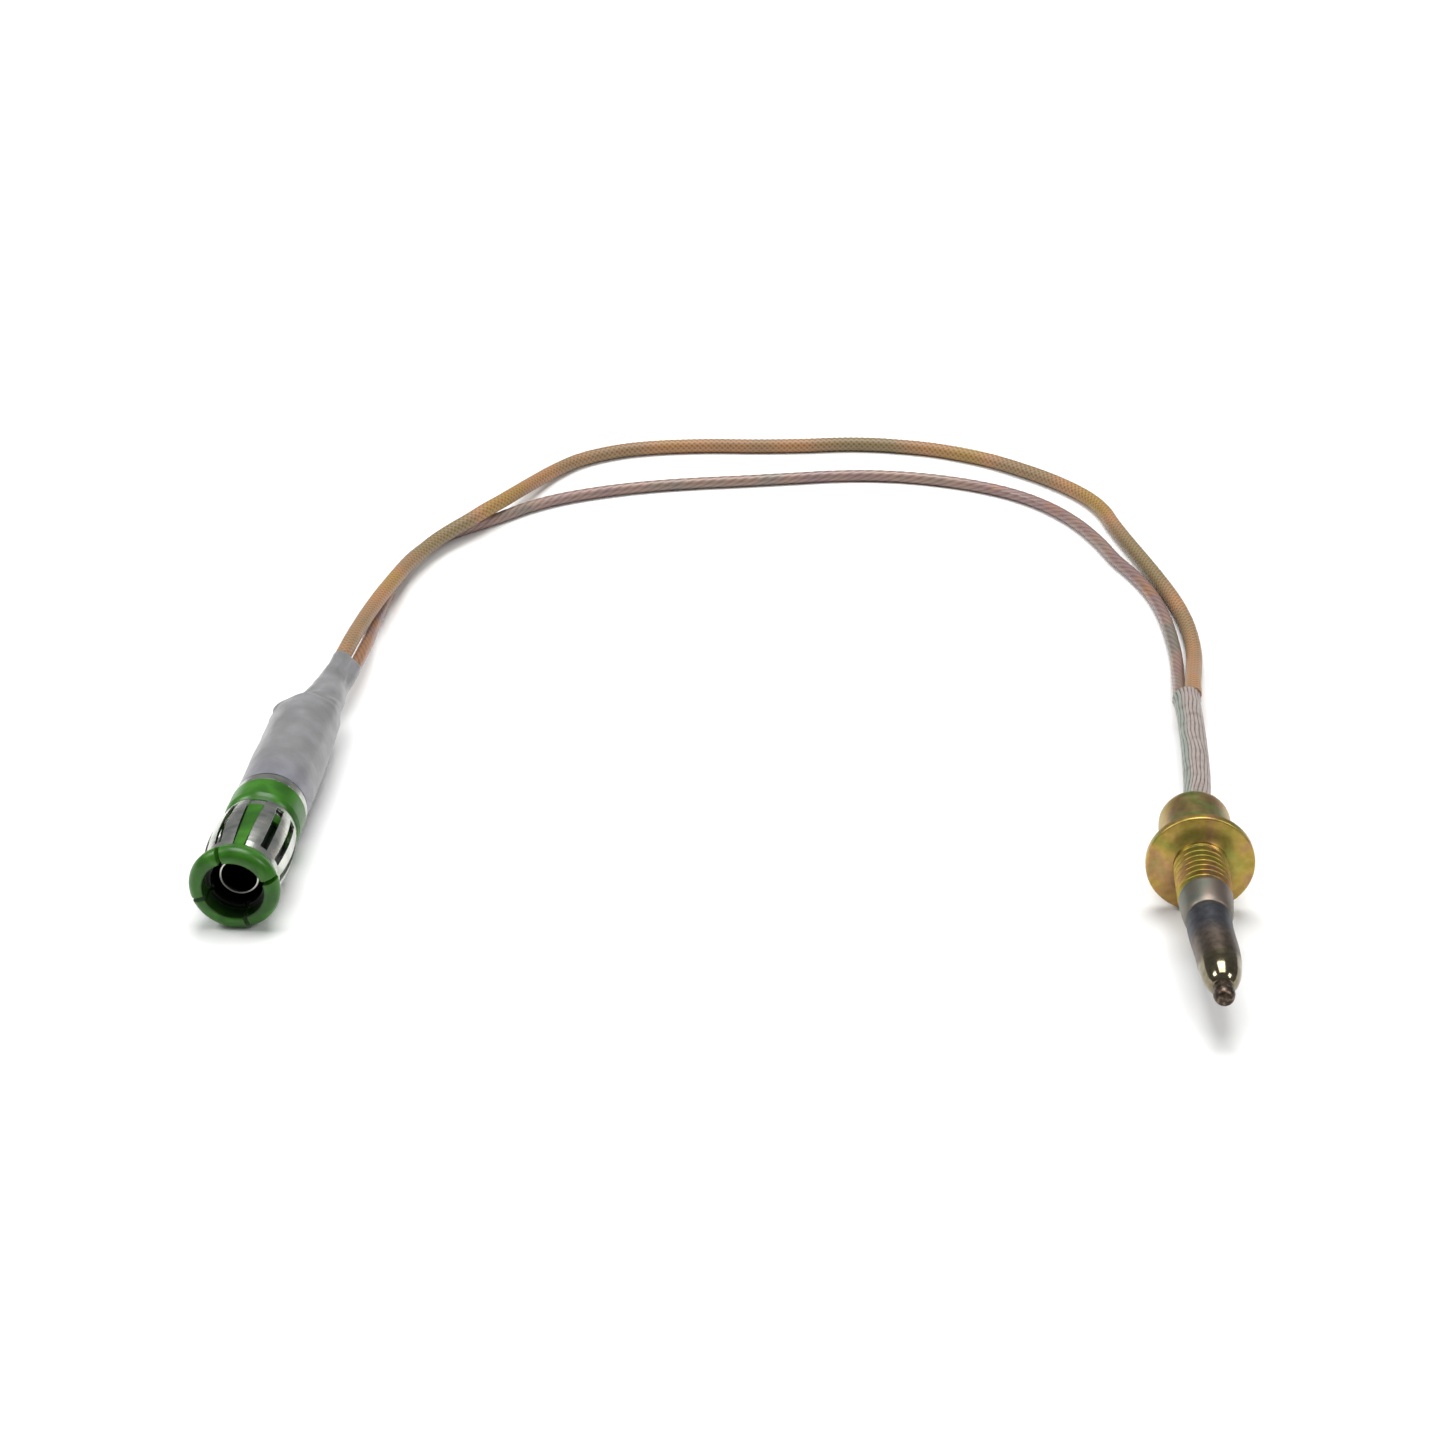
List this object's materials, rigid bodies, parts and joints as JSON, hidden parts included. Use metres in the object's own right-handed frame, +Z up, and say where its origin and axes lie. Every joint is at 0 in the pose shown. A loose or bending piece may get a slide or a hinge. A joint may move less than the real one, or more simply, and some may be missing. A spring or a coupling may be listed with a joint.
{
  "type": "gas hob thermocouple",
  "caption": "Flame-sensing thermocouple: steel hot tip in a threaded brass flange bush, insulated leads, and a push-in coaxial spring connector.",
  "frame": {"origin": "on the hot end's axis, at the centre of the flange's seat face (the face towards the tip)", "axes": "-Y along the stem towards the hot tip, +Z up as the part lies flat, +X to the stem's side away from the connector"},
  "size_m": [0.1149, 0.1569, 0.0118],
  "materials": {
    "weld": "heat-browned weld bead",
    "steel": "drawn steel, heat-tinted",
    "ferrule_steel": "bright turned steel",
    "brass": "turned brass, yellow-passivated",
    "wire": "bare copper-alloy wire",
    "solder": "dull solder and tinned brass",
    "ceramic": "white insulating tube",
    "glass_braid": "grey braided glass fibre, varnished",
    "amber_braid": "amber varnished glass-fibre braid",
    "mauve_coat": "thin translucent coat over copper wire",
    "shrink": "cloudy grey heat-shrink film",
    "silver": "silver-plated spring brass",
    "green_plastic": "moulded green plastic, satin"
  },
  "bodies": {
    "root": {"hot_junction": "weld", "tip_sheath": "steel", "core_wire": "wire", "tip_insulator": "ceramic", "ferrule": "ferrule_steel", "mounting_bush": "brass", "core_splice": "solder", "core_splice_tube": "ceramic", "ground_joint": "solder", "retaining_ring": "brass", "braided_sleeve": "glass_braid", "core_conductor_front": "wire", "ground_conductor_front": "wire", "thick_lead": "amber_braid", "thin_lead": "mauve_coat", "core_conductor_rear": "wire", "ground_conductor_rear": "wire", "heat_shrink": "shrink", "ground_crimp": "silver", "core_crimp_tube": "ceramic", "inner_contact": "silver", "ground_terminal": "silver", "rear_ring": "green_plastic", "outer_contact": "silver", "connector_nose": "green_plastic"}
  },
  "joints": []
}
